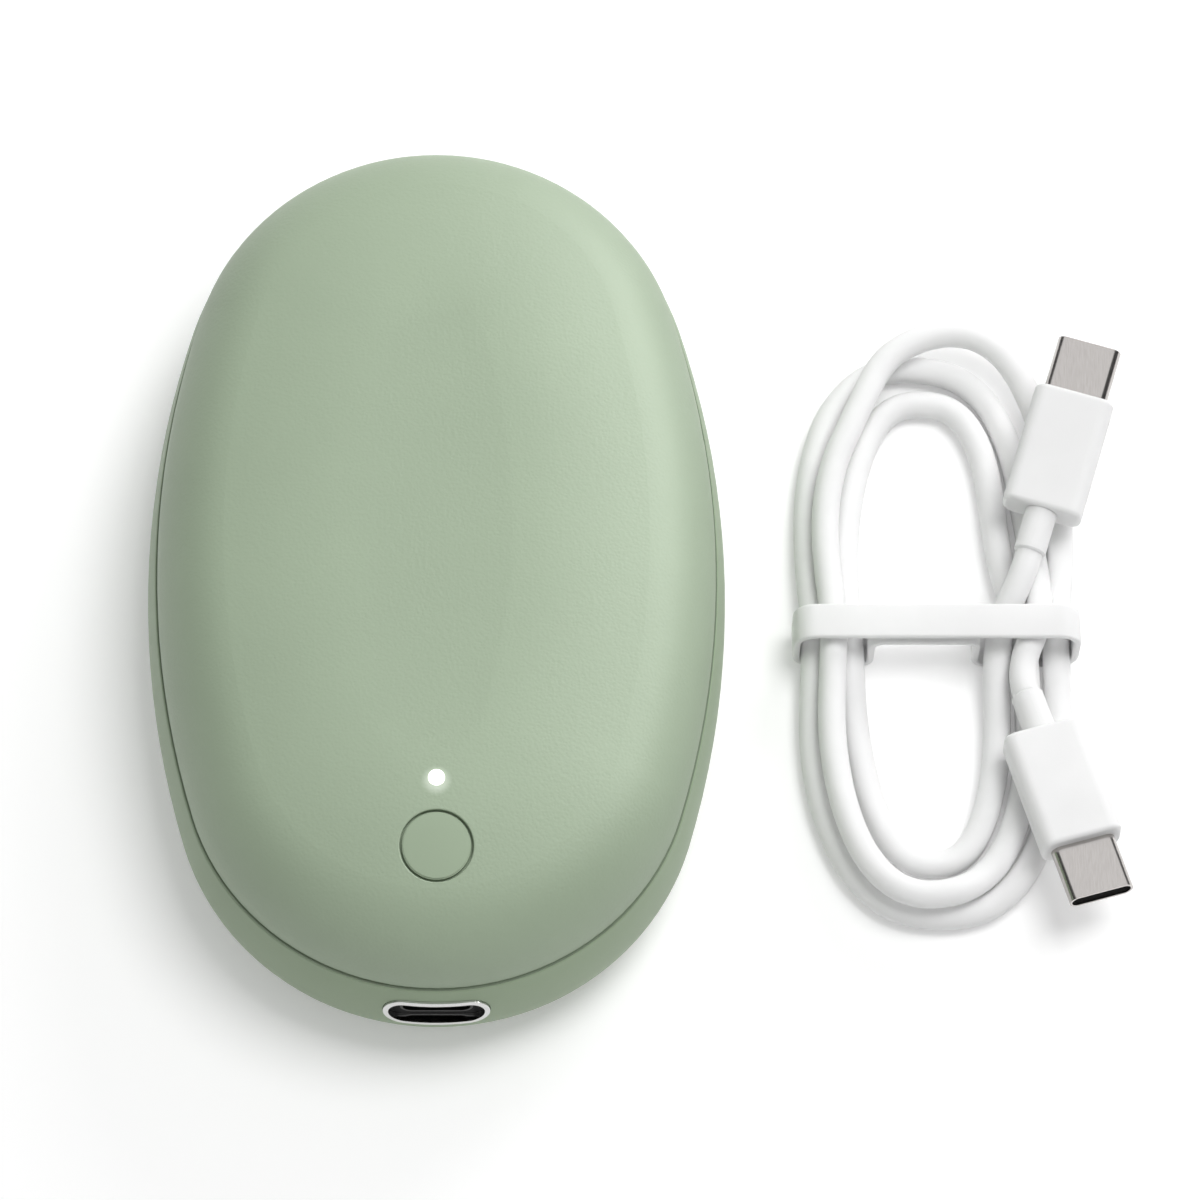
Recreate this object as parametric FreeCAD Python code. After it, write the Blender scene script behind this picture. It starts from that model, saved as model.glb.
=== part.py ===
import FreeCAD, Part
import math
import os

from FreeCAD import Placement, Rotation, Vector

# Rechargeable hand warmer with its charging lead, in millimetres.
# The origin is the middle of the warmer's underside. +Y runs to the far end and the port is at the -Y end.

# Case, a long oval of four arcs in plan
case_length = 116.8
case_width = 73.0
case_height = 30.0
side_bow = 3.7
parting_height = 16.4
parting_gap = 0.3
parting_step = 0.35
edge_break = 0.15
base_lean = 1.1
top_flat_radius = 5.7
crown_lift = 1.81
base_round = 9.0
wall = 2.4

# Joint between the two shells
rim_wall = 0.9
lip_depth = 1.2
lip_clearance = 0.1
snap_bead = 0.25
seal_height = 0.5

# Fits
overrun = 2.0
fit_clearance = 0.05
glue_gap = 0.1
running_gap = 0.3

# Port and socket
port_height = 11.5
port_recess = 1.1
bezel_width = 13.2
bezel_height = 5.5
bezel_rim = 0.65
bezel_proud = 0.25
bezel_inner_reach = 0.6
insert_inner_reach = 0.9
socket_width = 8.94
socket_height = 3.16
socket_wall = 0.3
socket_length = 7.4
tongue_width = 6.69
tongue_thickness = 0.7
tongue_setback = 1.4
tongue_root = 2.0
contact_count = 12
contact_pitch = 0.5
contact_width = 0.25
contact_thickness = 0.05
contact_length = 3.2

# Main board and what stands on it
board_thickness = 1.6
board_inset = 4.0
board_half_width = 20.0
board_rear_setback = 29.9
board_boss_radius = 2.4
board_boss_rear_side = 16.0
board_boss_rear_setback = 21.9
board_boss_front_side = 9.5
board_boss_front_setback = 9.4
chip_side = 6.0
chip_height = 1.0
coil_side = 7.0
coil_height = 3.0
chip_place_shares = ((-0.5, 0.7), (-0.62, 0.45))
coil_place_share = (0.5, 0.6)
ribbon_socket_size = (7.0, 3.0, 1.5)
ribbon_socket_setback = 20.0

# Screws
screw_radius = 1.0
screw_head_radius = 1.9
screw_head_height = 1.2
screw_length = 5.0
small_screw_radius = 0.8
small_screw_head_radius = 1.5
small_screw_head_height = 0.9
small_screw_length = 3.6

# Power button, its switch and its light, stacked along the cover's normal
button_setback = 15.25
button_radius = 4.2
button_seat_depth = 0.9
button_edge_round = 0.15
button_rest_gap = 0.1
button_flange = 1.2
button_flange_thickness = 1.0
button_stem_radius = 1.5
button_stem_length = 1.2
button_travel = 0.3
guide_wall = 1.0
guide_depth = 4.4
guide_clearance = 0.15
switch_side = 6.0
switch_height = 2.0
plunger_radius = 1.6
plunger_stand = 0.65
plunger_gap = 0.05
plunger_sunk = 0.6
button_board_half_width = 12.0
button_board_front = -5.0
button_board_rear = 10.5
button_board_thickness = 1.0
button_boss_radius = 2.2
button_boss_place = 9.0
light_place = 8.6
light_radius = 1.0
light_flange = 0.9
light_flange_thickness = 0.8
light_flange_depth = 3.5
led_size = (2.0, 1.2, 0.8)
ribbon_width = 5.0
ribbon_thickness = 0.2
upper_socket_place = -2.5

# Cells and the frame that holds them
cell_front_setback = 33.4
cell_rear_margin = 18.2
cell_gap = 0.4
cell_seat_gap = 0.1
cell_nub_radius = 4.0
cell_nub_height = 0.4
frame_floor = 1.0
frame_floor_inset = 6.0
frame_rail = 1.4
frame_rail_gap = 0.2
frame_rail_drop = 3.0
frame_wall = 1.6
frame_wall_gap = 0.9
frame_wall_height = 1.0
frame_ear_radius = 3.4
frame_ear_thickness = 2.0
frame_ear_height = 7.0
frame_boss_radius = 2.6
frame_ear_reach = 2.8
frame_ear_front_margin = 7.0
frame_ear_rear_margin = 12.2
strip_thickness = 0.2
strip_overlap = 3.6
front_strip_half_height = 3.2
rear_strip_half_height = 5.2

# Heaters against the two shells
plate_thickness = 1.0
film_thickness = 0.2
top_plate_setback = 31.4
top_plate_drop = 1.8
base_plate_setback = 25.4
film_margin = 2.0
pad_margin = 4.0
pad_thickness = 3.2
thermistor_size = (2.0, 1.2, 0.6)
thermistor_setback = 2.5

# Wires inside
battery_lead_radius = 0.8
heater_lead_radius = 0.5
lead_bend = 1.6
front_lead_rise = 2.2
front_lead_setback = 26.9
rear_lead_rise = 4.2
rear_lead_setback = 24.9
heater_lead_side = 4.0
heater_lead_setback = 29.0
base_lead_start_setback = 29.4
base_lead_setback = 22.4

# Charging lead: a hank of three loops, tied across its waist
lead_diameter = 3.5
hank_middle = Vector(63.0, -2.3, 0)
hank_half_width = 13.9
hank_half_length = 36.6
hank_power = 2.6
hank_loops = 3
hank_steps_per_loop = 24
waist_draw = 0.9
waist_span = 9.0
waist_lift = 1.12
low_layer = 1.83
layer_rise = 3.98
plug_a_end = Vector(75.3, 5.5, 8.4)
plug_a_heading = 17.0
plug_b_end = Vector(74.4, -13.4, 6.8)
plug_b_heading = 164.2
plug_pitch = 5.0

# Stations along the loops: turn, step outward from the hank's oval, share of the rise to the upper layer
hank_stations = (
    (0.000, -4.4, 0.58),
    (0.025, -5.1, 0.22),
    (0.060, -5.3, 0.0),
    (0.130, -5.3, 0.0),
    (0.255, -4.3, 0.0),
    (0.411, -3.5, 0.0),
    (0.500, -2.6, 0.0),
    (0.600, -3.1, 0.0),
    (0.766, -4.5, 0.0),
    (0.860, -4.2, 0.0),
    (0.940, -4.8, 0.0),
    (0.965, -4.0, 0.0),
    (1.000, -1.5, 0.0),
    (1.030, -1.3, 0.0),
    (1.105, -1.2, 0.0),
    (1.165, -0.8, 0.42),
    (1.235, 1.0, 1.0),
    (1.280, 1.5, 1.0),
    (1.413, 0.3, 0.95),
    (1.500, -0.5, 0.83),
    (1.572, 0.1, 0.95),
    (1.640, -1.3, 1.0),
    (1.700, 1.1, 1.0),
    (1.772, 4.0, 1.0),
    (1.830, 5.0, 0.85),
    (1.900, 4.4, 0.0),
    (1.960, 3.4, 0.0),
    (1.985, 3.0, 0.0),
    (2.010, 2.5, 0.0),
    (2.050, 2.6, 0.0),
    (2.125, 2.6, 0.0),
    (2.255, 2.6, 0.0),
    (2.400, 2.6, 0.0),
    (2.500, 1.75, 0.0),
    (2.611, 2.6, 0.0),
    (2.660, 1.9, 0.0),
    (2.777, 0.2, 0.0),
    (2.860, -0.2, 0.0),
    (2.930, -0.6, 0.0),
    (2.960, -0.5, 0.34),
    (2.985, 0.85, 0.75),
    (3.000, 0.75, 0.93),
)

# Tie band and plugs of the lead
tie_left = 45.2
tie_right = 81.6
tie_middle = -4.3
tie_height = 9.7
tie_width = 4.6
tie_thickness = 0.9
tie_corner = 3.0
tie_left_loop = 9.95
tie_right_loop = 13.15
tie_pinch_gap = 2.0
tie_pinch_bend = 1.6
collar_radius = 2.05
collar_length = 5.8
collar_edge = 0.3
grip_width = 10.3
grip_thickness = 5.4
grip_length = 16.4
grip_corner = 1.7
grip_edge = 0.6
plug_shell_width = 8.25
plug_shell_height = 2.4
plug_shell_wall = 0.3
plug_shell_length = 7.4
plug_insert_recess = 0.5
plug_slot_depth = 4.6

# Directions and turns
x_axis = Vector(1, 0, 0)
y_axis = Vector(0, 1, 0)
z_axis = Vector(0, 0, 1)
quarter_turn = math.pi / 2
straight_limit = 1e-6
rim_samples = 9

# Plan oval worked out from the case sizes
half_length = case_length / 2
half_width = case_width / 2
near_end = -half_length
end_radius = half_width - side_bow
end_centre = half_length - end_radius
side_radius = (half_width ** 2 + end_centre ** 2 - end_radius ** 2) / (2 * (half_width - end_radius))
side_centre = side_radius - half_width
joint_angle = math.atan2(end_centre, side_centre)
end_sweep = math.pi - 2 * joint_angle
plan_sectors = (
    (Vector(-side_centre, 0, 0), side_radius, -joint_angle, 2 * joint_angle),
    (Vector(0, end_centre, 0), end_radius, joint_angle, end_sweep),
    (Vector(side_centre, 0, 0), side_radius, math.pi - joint_angle, 2 * joint_angle),
    (Vector(0, -end_centre, 0), end_radius, math.pi + joint_angle, end_sweep),
)

# Cover profile: a tight arc at the edge runs into a wide crown arc, which ends level at the flat top
cover_inset = base_lean + parting_step
cover_edge_height = parting_height + parting_gap / 2 + edge_break
cover_rise = case_height - cover_edge_height
crown_width = end_radius - cover_inset - top_flat_radius
edge_radius = cover_rise - crown_lift
crown_run = crown_width - edge_radius
crown_radius = (crown_run ** 2 + cover_rise ** 2 - edge_radius ** 2) / (2 * crown_lift)
shoulder_angle = math.atan2(crown_radius - cover_rise, crown_run)
crown_inset = cover_inset + crown_width

# Base profile: a rounded foot runs into a wide side arc, which leans in to the parting line
base_edge_height = parting_height - parting_gap / 2 - edge_break
side_rise = base_edge_height - base_round
base_side_radius = (side_rise ** 2 + base_lean ** 2) / (2 * base_lean)
rim_inset = base_lean + rim_wall
rim_top = parting_height - parting_gap / 2
lip_low = parting_height - lip_depth
ledge_height = lip_low - seal_height
bead_height = (lip_low + parting_height) / 2

# Button axis: the cover's normal where the button sits
button_slope_run = crown_inset - button_setback
button_rise = math.sqrt(crown_radius ** 2 - button_slope_run ** 2)
button_surface = Vector(0, near_end + button_setback, case_height - crown_radius + button_rise)
button_tilt = math.degrees(math.asin(button_slope_run / crown_radius))
button_frame = Placement(button_surface, Rotation(x_axis, button_tilt))
flange_top = -button_seat_depth - button_rest_gap
stem_top = flange_top - button_flange_thickness
plunger_top = stem_top - button_stem_length - plunger_gap
switch_top = plunger_top - plunger_stand
button_board_top = switch_top - switch_height
button_board_low = button_board_top - button_board_thickness
flange_radius = button_radius + button_flange
guide_radius = flange_radius + guide_clearance
light_flange_radius = light_radius + light_flange
button_boss_places = (-button_boss_place, button_boss_place)

# Heights of the stack between the shells
board_top = port_height - socket_height / 2
board_low = board_top - board_thickness
board_front = near_end + board_inset
board_rear = near_end + board_rear_setback
socket_front = near_end + port_recess
top_plate_front = near_end + top_plate_setback
base_plate_front = near_end + base_plate_setback
base_film_top = wall + plate_thickness + film_thickness
top_film_low = case_height - wall - glue_gap - plate_thickness - film_thickness

# Cells fill the height between the frame's floor and the foam
cell_low = base_film_top + frame_floor + cell_seat_gap
cell_radius = (top_film_low - pad_thickness - cell_low) / 2
cell_height = cell_low + cell_radius
cell_side = cell_radius + cell_gap / 2
cell_front = near_end + cell_front_setback
cell_rear = half_length - cell_rear_margin
cell_length = cell_rear - cell_front
frame_rail_inner = cell_side + cell_radius + frame_rail_gap
frame_rail_outer = frame_rail_inner + frame_rail
frame_ear_side = frame_rail_outer + frame_ear_reach
base_plate_inset = half_width - frame_rail_outer


def box(low, high):
    """Box between two corners."""
    size = high - low
    return Part.makeBox(size.x, size.y, size.z, low)


def block(width, depth, height, foot):
    """Box that stands on the middle of its foot."""
    return Part.makeBox(width, depth, height, foot - Vector(width / 2, depth / 2, 0))


def post(radius, low, high, x=0, y=0):
    """Upright cylinder between two heights."""
    return Part.makeCylinder(radius, high - low, Vector(x, y, low))


def fuse(shapes):
    """One shape of several that overlap."""
    return shapes[0].multiFuse(shapes[1:]).removeSplitter()


def corner(offset, height):
    """Point of a profile, by its step out from the plan oval and its height."""
    return Vector(offset, 0, height)


def polyline(points):
    """Straight edges through points."""
    return [Part.makeLine(start, end) for start, end in zip(points, points[1:])]


def profile_arc(centre, radius, start, end):
    """Arc of a profile about a centre, between two angles."""
    angles = (start, (start + end) / 2, end)
    points = [centre + Vector(radius * math.cos(angle), 0, radius * math.sin(angle)) for angle in angles]
    return Part.Arc(*points).toShape()


def oval_wire(offset, height):
    """Plan oval, grown by an offset, at a height."""
    edges = []
    for centre, radius, start, sweep in plan_sectors:
        angles = (start, start + sweep / 2, start + sweep)
        reach = radius + offset
        spokes = [Vector(reach * math.cos(angle), reach * math.sin(angle), height) for angle in angles]
        edges.append(Part.Arc(*[centre + spoke for spoke in spokes]).toShape())
    return Part.Wire(edges)


def oval_prism(offset, low, high):
    """Upright prism of the plan oval."""
    return Part.Face(oval_wire(offset, low)).extrude(Vector(0, 0, high - low))


def solid_of(faces):
    """Closed solid of faces that meet edge to edge."""
    shell = Part.makeShell(faces)
    shell.sewShape()
    solid = Part.makeSolid(shell)
    if solid.Volume < 0:
        solid.reverse()
    return solid


def oval_faces(profile):
    """Faces that a profile sweeps round the plan oval, one turn about each arc's centre."""
    faces = []
    for centre, radius, start, sweep in plan_sectors:
        wire = Part.Wire([edge.translated(Vector(radius, 0, 0)) for edge in profile])
        wire.Placement = Placement(centre, Rotation(z_axis, math.degrees(start)))
        faces += wire.revolve(centre, z_axis, math.degrees(sweep)).Faces
    return faces


def oval_body(profile):
    """Solid inside a profile swept round the plan oval, closed flat below and above."""
    low = profile[0].Vertexes[0].Point
    high = profile[-1].Vertexes[-1].Point
    caps = [Part.Face(oval_wire(point.x, point.z)) for point in (low, high)]
    return solid_of(oval_faces(profile) + caps)


def oval_ring(points):
    """Ring with a closed section, swept round the plan oval."""
    return solid_of(oval_faces(polyline(list(points) + [points[0]])))


def cover_arcs(depth):
    """The cover's two profile arcs, sunk below its surface by a depth."""
    edge_centre = corner(-cover_inset - edge_radius, cover_edge_height)
    crown_centre = corner(-crown_inset, case_height - crown_radius)
    return [
        profile_arc(edge_centre, edge_radius - depth, 0, shoulder_angle),
        profile_arc(crown_centre, crown_radius - depth, shoulder_angle, quarter_turn),
    ]


def base_arcs(depth, top):
    """The base's two profile arcs, sunk below its surface by a depth, up to a height."""
    foot_centre = corner(-base_round, base_round)
    side_arc_centre = corner(-base_side_radius, base_round)
    reach = base_side_radius - depth
    lean = math.asin((top - base_round) / reach)
    return [
        profile_arc(foot_centre, base_round - depth, -quarter_turn, 0),
        profile_arc(side_arc_centre, reach, 0, lean),
    ]


def rim_edges(shape, radius):
    """Edges where a round of a radius about the button's axis meets the cover's surface."""
    to_button = button_frame.inverse()
    edges = []
    for edge in shape.Edges:
        points = [to_button.multVec(point) for point in edge.discretize(rim_samples)]
        on_round = all(abs(math.hypot(point.x, point.y) - radius) < fit_clearance for point in points)
        if on_round and all(abs(point.z) < button_seat_depth / 2 for point in points):
            edges.append(edge)
    return edges


def tilted(shape):
    """Shape moved from the button's own frame to its place in the cover."""
    shape.Placement = button_frame.multiply(shape.Placement)
    return shape


def stadium(width, height, front, back):
    """Prism along Y with half-round ends, centred on the port's height."""
    radius = height / 2
    half_flat = width / 2 - radius
    low, middle, high = port_height - radius, port_height, port_height + radius
    edges = [
        Part.makeLine(Vector(-half_flat, front, low), Vector(half_flat, front, low)),
        Part.Arc(Vector(half_flat, front, low), Vector(half_flat + radius, front, middle),
                 Vector(half_flat, front, high)).toShape(),
        Part.makeLine(Vector(half_flat, front, high), Vector(-half_flat, front, high)),
        Part.Arc(Vector(-half_flat, front, high), Vector(-half_flat - radius, front, middle),
                 Vector(-half_flat, front, low)).toShape(),
    ]
    return Part.Face(Part.Wire(edges)).extrude(Vector(0, back - front, 0))


def screw(radius, length, head_radius, head_height):
    """Screw with its head's underside at the origin and its shank down."""
    return fuse([post(radius, -length, head_height / 2), post(head_radius, 0, head_height)])


def arc_midpoint(start, heading, end):
    """Middle of the arc that leaves start along heading and ends at end."""
    chord = end - start
    along = Vector(chord).normalize()
    side = heading - along * heading.dot(along)
    if side.Length < straight_limit:
        return None
    half_angle = math.acos(min(1, heading.dot(along))) / 2
    return (start + end) / 2 + side.normalize() * (chord.Length / 2 * math.tan(half_angle))


def arc_edge(start, heading, end):
    """Arc that leaves start along heading, or a line where it would be straight."""
    middle = arc_midpoint(start, heading, end)
    if middle is None:
        return Part.makeLine(start, end)
    return Part.Arc(start, middle, end).toShape()


def tube(edges, radius, start, heading):
    """Round tube along joined edges."""
    section = Part.Wire(Part.makeCircle(radius, start, heading))
    return Part.Wire(edges).makePipeShell([section], True, False)


def wire_lead(points, radius):
    """Wire along straight runs, joined by arcs of one bend radius."""
    edges = []
    start = points[0]
    for before, bend, after in zip(points, points[1:], points[2:]):
        arrive = (bend - before).normalize()
        leave = (after - bend).normalize()
        cut_back = lead_bend * math.tan(arrive.getAngle(leave) / 2)
        edges.append(Part.makeLine(start, bend - arrive * cut_back))
        edges.append(arc_edge(bend - arrive * cut_back, arrive, bend + leave * cut_back))
        start = bend + leave * cut_back
    edges.append(Part.makeLine(start, points[-1]))
    return tube(edges, radius, points[0], points[1] - points[0])


# Shells

def top_cover():
    """Upper shell with its lip, the button's guide and the bosses of the button board."""
    lip_outer = -rim_inset - lip_clearance
    shoulder = parting_height + parting_gap / 2
    outer = polyline([
        corner(lip_outer, lip_low),
        corner(lip_outer, bead_height - snap_bead),
        corner(lip_outer + snap_bead, bead_height),
        corner(lip_outer, bead_height + snap_bead),
        corner(lip_outer, shoulder),
        corner(-cover_inset - edge_break, shoulder),
        corner(-cover_inset, cover_edge_height),
    ]) + cover_arcs(0)
    inner = -cover_inset - wall
    inner_side = [corner(inner, lip_low - overrun), corner(inner, cover_edge_height)]
    shell = oval_body(outer).cut(oval_body(polyline(inner_side) + cover_arcs(wall)))
    rooted = -wall / 2
    guide = post(guide_radius + guide_wall, -guide_depth, rooted)
    bosses = [post(button_boss_radius, button_board_top, rooted, x) for x in button_boss_places]
    cuts = [
        post(button_radius + running_gap, -guide_depth - overrun, overrun),
        post(guide_radius, -guide_depth - overrun, -button_seat_depth),
        post(light_radius + fit_clearance, -guide_depth - overrun, overrun, 0, light_place),
        post(light_flange_radius + glue_gap, button_board_top, glue_gap - light_flange_depth, 0, light_place),
    ]
    pilot_top = button_board_low + small_screw_length
    cuts += [post(small_screw_radius, button_board_low, pilot_top, x) for x in button_boss_places]
    shell = fuse([shell] + [tilted(shape) for shape in [guide] + bosses])
    shell = shell.cut([tilted(shape) for shape in cuts])
    return shell.makeFillet(button_edge_round, rim_edges(shell, button_radius + running_gap))


def base_outer(depth):
    """Solid inside the base's outer surface, sunk by a depth."""
    return oval_body(base_arcs(depth, base_edge_height))


def board_boss_places():
    """Where the main board is screwed down."""
    rear = near_end + board_boss_rear_setback
    front = near_end + board_boss_front_setback
    places = ((board_boss_rear_side, rear), (board_boss_front_side, front))
    return [(side * x, y) for x, y in places for side in (-1, 1)]


def frame_boss_places():
    """Where the cell frame is screwed down."""
    places = (cell_front + frame_ear_front_margin, cell_rear - frame_ear_rear_margin)
    return [(side * frame_ear_side, y) for y in places for side in (-1, 1)]


def base_shell():
    """Lower shell with its rim, screw bosses and port."""
    edge = [corner(-base_lean, base_edge_height), corner(-base_lean - edge_break, rim_top)]
    outer = base_arcs(0, base_edge_height) + polyline(edge)
    inner_arcs = base_arcs(wall, ledge_height)
    cavity = inner_arcs + polyline([
        inner_arcs[-1].Vertexes[-1].Point,
        corner(-rim_inset, ledge_height),
        corner(-rim_inset, bead_height - snap_bead - lip_clearance),
        corner(-rim_inset + snap_bead, bead_height - lip_clearance),
        corner(-rim_inset + snap_bead, bead_height + lip_clearance),
        corner(-rim_inset, bead_height + snap_bead + lip_clearance),
        corner(-rim_inset, parting_height + overrun),
    ])
    shell = oval_body(outer).cut(oval_body(cavity))
    rooted = wall / 2
    bosses = [post(board_boss_radius, rooted, board_low, x, y) for x, y in board_boss_places()]
    bosses += [post(frame_boss_radius, rooted, frame_ear_height, x, y) for x, y in frame_boss_places()]
    shell = fuse([shell] + bosses)
    frame_top = frame_ear_height + frame_ear_thickness
    cuts = [post(screw_radius, board_top - screw_length, board_top, x, y) for x, y in board_boss_places()]
    cuts += [post(screw_radius, frame_top - screw_length, frame_top, x, y) for x, y in frame_boss_places()]
    hole_width = bezel_width + 2 * fit_clearance
    hole_height = bezel_height + 2 * fit_clearance
    cuts.append(stadium(hole_width, hole_height, near_end - overrun, near_end + wall + overrun))
    return shell.cut(cuts)


def seal_ring():
    """Seal on the base's ledge, under the cover's lip."""
    outer = -rim_inset - lip_clearance
    inner = -base_lean - wall
    return oval_ring([
        corner(inner, ledge_height),
        corner(outer, ledge_height),
        corner(outer, lip_low),
        corner(inner, lip_low),
    ])


def parting_gasket():
    """Dark gasket that shows as the line between the two shells."""
    outer = -base_lean - edge_break
    shoulder = rim_top + parting_gap
    return oval_ring([
        corner(-rim_inset, rim_top),
        corner(outer, rim_top),
        corner(outer, shoulder),
        corner(-rim_inset, shoulder),
    ])


# Port and socket

def usb_bezel():
    """Plated ring round the port, following the base's curved end."""
    opening_width = bezel_width - 2 * bezel_rim
    opening_height = bezel_height - 2 * bezel_rim
    front = near_end - overrun
    back = near_end + wall + bezel_inner_reach
    ring = stadium(bezel_width, bezel_height, front, back)
    ring = ring.cut(stadium(opening_width, opening_height, front - overrun, back + overrun))
    return ring.common(base_outer(-bezel_proud))


def port_insert():
    """Dark filler between the bezel and the socket."""
    width = bezel_width - 2 * bezel_rim - 2 * fit_clearance
    height = bezel_height - 2 * bezel_rim - 2 * fit_clearance
    back = near_end + wall + insert_inner_reach
    filler = stadium(width, height, socket_front, back)
    hole_width = socket_width + 2 * fit_clearance
    hole_height = socket_height + 2 * fit_clearance
    return filler.cut(stadium(hole_width, hole_height, socket_front - overrun, back + overrun))


def usb_shell():
    """Steel can of the socket, closed at its back."""
    back = socket_front + socket_length
    can = stadium(socket_width, socket_height, socket_front, back)
    bore_width = socket_width - 2 * socket_wall
    bore_height = socket_height - 2 * socket_wall
    return can.cut(stadium(bore_width, bore_height, socket_front - overrun, back - socket_wall))


def usb_tongue():
    """Insulating tongue and the block that it grows from."""
    back = socket_front + socket_length - socket_wall
    root_width = socket_width - 2 * socket_wall - 2 * fit_clearance
    root_height = socket_height - 2 * socket_wall - 2 * fit_clearance
    root = stadium(root_width, root_height, back - tongue_root, back)
    low = port_height - tongue_thickness / 2
    tongue = box(Vector(-tongue_width / 2, socket_front + tongue_setback, low),
                 Vector(tongue_width / 2, back, low + tongue_thickness))
    return fuse([root, tongue])


def usb_contacts():
    """Rows of contacts on both faces of the tongue."""
    front = socket_front + tongue_setback
    rows = (port_height + tongue_thickness / 2, port_height - tongue_thickness / 2 - contact_thickness)
    contacts = []
    for low in rows:
        for index in range(contact_count):
            x = (index - (contact_count - 1) / 2) * contact_pitch
            foot = Vector(x, front + contact_length / 2, low)
            contacts.append(block(contact_width, contact_length, contact_thickness, foot))
    return Part.makeCompound(contacts)


# Main board

def main_board():
    """Main board, following the near end of the case."""
    blank = oval_prism(-board_inset, board_low, board_top)
    board = blank.common(box(Vector(-board_half_width, near_end, board_low),
                             Vector(board_half_width, board_rear, board_top)))
    return board.cut([post(screw_radius, board_low, board_top, x, y) for x, y in board_boss_places()])


def board_place(shares):
    """Point on the main board, by shares of its half width and its length from the front."""
    across, along = shares
    return Vector(across * board_half_width, board_front + along * (board_rear - board_front), board_top)


def board_components():
    """Control and charge chips and the charger's coil."""
    parts = [block(chip_side, chip_side, chip_height, board_place(shares)) for shares in chip_place_shares]
    parts.append(block(coil_side, coil_side, coil_height, board_place(coil_place_share)))
    return Part.makeCompound(parts)


def upper_socket_foot():
    """Middle of the ribbon socket's lower face, under the button board."""
    depth = button_board_low - ribbon_socket_size[2]
    return button_frame.multVec(Vector(0, upper_socket_place, depth))


def ribbon_sockets():
    """Sockets for the ribbon, on the main board and under the button board."""
    width, depth, height = ribbon_socket_size
    lower = block(width, depth, height, Vector(0, near_end + ribbon_socket_setback, board_top))
    upper = tilted(block(width, depth, height, Vector(0, upper_socket_place, button_board_low - height)))
    return Part.makeCompound([lower, upper])


def button_ribbon():
    """Flat ribbon between the two sockets."""
    low = Vector(0, near_end + ribbon_socket_setback, board_top + ribbon_socket_size[2])
    rise = upper_socket_foot() - low
    ribbon = block(ribbon_width, ribbon_thickness, rise.Length, Vector(0, 0, 0))
    ribbon.Placement = Placement(low, Rotation(z_axis, rise))
    trim_top = tilted(block(2 * ribbon_width, 2 * ribbon_width, overrun,
                            Vector(0, upper_socket_place, button_board_low - ribbon_socket_size[2])))
    trim_low = block(2 * ribbon_width, 2 * ribbon_width, overrun, low - Vector(0, 0, overrun))
    return ribbon.cut([trim_top, trim_low])


def screws_at(places, height):
    """Screws with their heads on a height."""
    screws = []
    for x, y in places:
        item = screw(screw_radius, screw_length, screw_head_radius, screw_head_height)
        item.translate(Vector(x, y, height))
        screws.append(item)
    return Part.makeCompound(screws)


# Power button, switch and light

def power_button():
    """Button cap cut to the cover's own surface, with a flange that keeps it in and a stem to the switch."""
    cap = tilted(post(button_radius - button_edge_round, flange_top, overrun))
    cap = cap.common(oval_body(cover_arcs(0)))
    rim = tilted(post(button_radius, flange_top, overrun)).common(oval_body(cover_arcs(button_edge_round)))
    flange = tilted(post(flange_radius, stem_top, flange_top))
    stem = tilted(post(button_stem_radius, stem_top - button_stem_length, stem_top))
    return fuse([cap, rim, flange, stem])


def plunger_low():
    """Foot of the switch plunger in the button's frame."""
    return switch_top - plunger_sunk


def tact_switch():
    """Body of the switch, with the bore that its plunger slides in."""
    body = block(switch_side, switch_side, switch_height, Vector(0, 0, button_board_top))
    bore_low = plunger_low() - button_travel - running_gap
    return tilted(body.cut(post(plunger_radius + fit_clearance, bore_low, switch_top)))


def switch_plunger():
    """Plunger that the button's stem presses."""
    return tilted(post(plunger_radius, plunger_low(), plunger_top))


def button_board():
    """Small board under the button, parallel to the cover there."""
    board = box(Vector(-button_board_half_width, button_board_front, button_board_low),
                Vector(button_board_half_width, button_board_rear, button_board_top))
    holes = [post(small_screw_radius, button_board_low, button_board_top, x) for x in button_boss_places]
    return tilted(board.cut(holes))


def button_board_screws():
    """Screws up through the button board into the cover's bosses."""
    screws = []
    for x in button_boss_places:
        item = screw(small_screw_radius, small_screw_length, small_screw_head_radius, small_screw_head_height)
        item.rotate(Vector(0, 0, 0), x_axis, math.degrees(math.pi))
        item.translate(Vector(x, 0, button_board_low))
        screws.append(tilted(item))
    return Part.makeCompound(screws)


def status_led():
    """Light source on the button board."""
    return tilted(block(*led_size, Vector(0, light_place, button_board_top)))


def light_pipe():
    """Clear pipe from the light source to the cover's surface."""
    foot = button_board_top + led_size[2] + glue_gap
    pipe = tilted(post(light_radius, foot, overrun, 0, light_place)).common(oval_body(cover_arcs(0)))
    flange_low = -light_flange_depth - light_flange_thickness
    flange = tilted(post(light_flange_radius, flange_low, -light_flange_depth, 0, light_place))
    return fuse([pipe, flange])


# Cells, frame and heaters

def battery_cell(side):
    """Round cell lying along Y, with its end nub."""
    start = Vector(side * cell_side, cell_front, cell_height)
    body_length = cell_length - cell_nub_height
    can = Part.makeCylinder(cell_radius, body_length, start, y_axis)
    nub = Part.makeCylinder(cell_nub_radius, cell_length - overrun, start + y_axis * overrun, y_axis)
    return fuse([can, nub])


def link_strip(low, half_height):
    """Strip that joins the two cells at one end."""
    half_width_here = cell_side + strip_overlap
    return box(Vector(-half_width_here, low, cell_height - half_height),
               Vector(half_width_here, low + strip_thickness, cell_height + half_height))


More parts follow.
